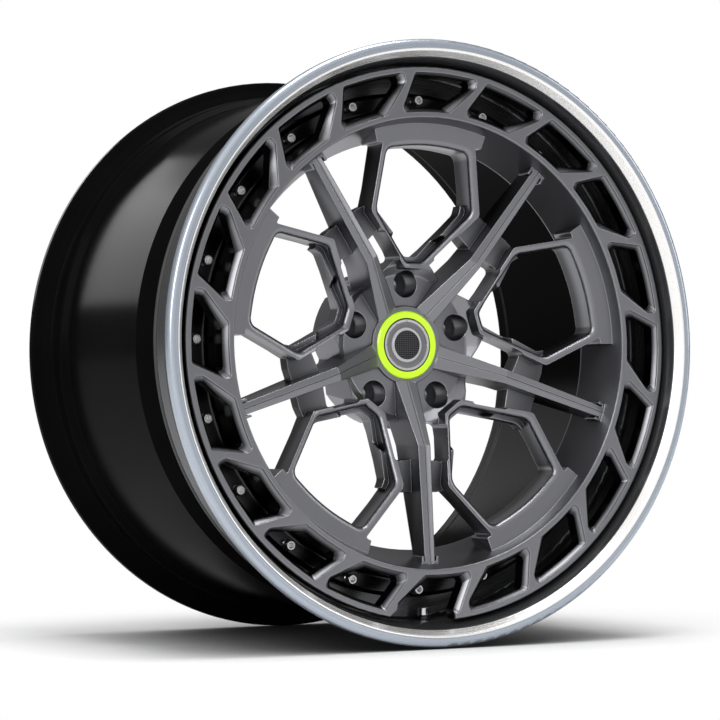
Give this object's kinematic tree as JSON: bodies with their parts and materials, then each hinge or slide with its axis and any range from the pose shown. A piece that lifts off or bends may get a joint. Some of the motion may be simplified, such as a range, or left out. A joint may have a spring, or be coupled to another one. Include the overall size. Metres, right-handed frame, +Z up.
{
  "type": "forged wheel",
  "caption": "Deep-dish three-piece forged road wheel: grey centre with spokes, hexagon frames and a windowed bolt ring, polished lip, black barrel and a green-ringed centre cap.",
  "frame": {"origin": "centre of the hub mounting face, on the wheel's axis", "axes": "+Y along the wheel's axis towards the car (the face looks to -Y), +Z up, +X to the right seen from the front"},
  "size_m": [0.5454, 0.32, 0.5454],
  "materials": {
    "forged_centre": "satin gunmetal grey over forged alloy",
    "outer_lip": "polished bright",
    "inner_barrel": "gloss black",
    "rim_seal": "cured sealant",
    "assembly_bolts": "bright plated",
    "assembly_nuts": "bright plated",
    "cap_ring": "gloss lime green",
    "cap_badge": "brushed grey",
    "cap_body": "black moulded",
    "cap_spring": "plain wire",
    "valve_stem": "black plated",
    "valve_seal": "plain",
    "valve_nut": "black plated",
    "valve_cap": "bright"
  },
  "bodies": {
    "root": {"forged_centre": "forged_centre", "outer_lip": "outer_lip", "inner_barrel": "inner_barrel", "rim_seal": "rim_seal", "assembly_bolts": "assembly_bolts", "assembly_nuts": "assembly_nuts", "cap_ring": "cap_ring", "cap_badge": "cap_badge", "cap_body": "cap_body", "cap_spring": "cap_spring", "valve_stem": "valve_stem", "valve_seal": "valve_seal", "valve_nut": "valve_nut", "valve_cap": "valve_cap"}
  },
  "joints": []
}
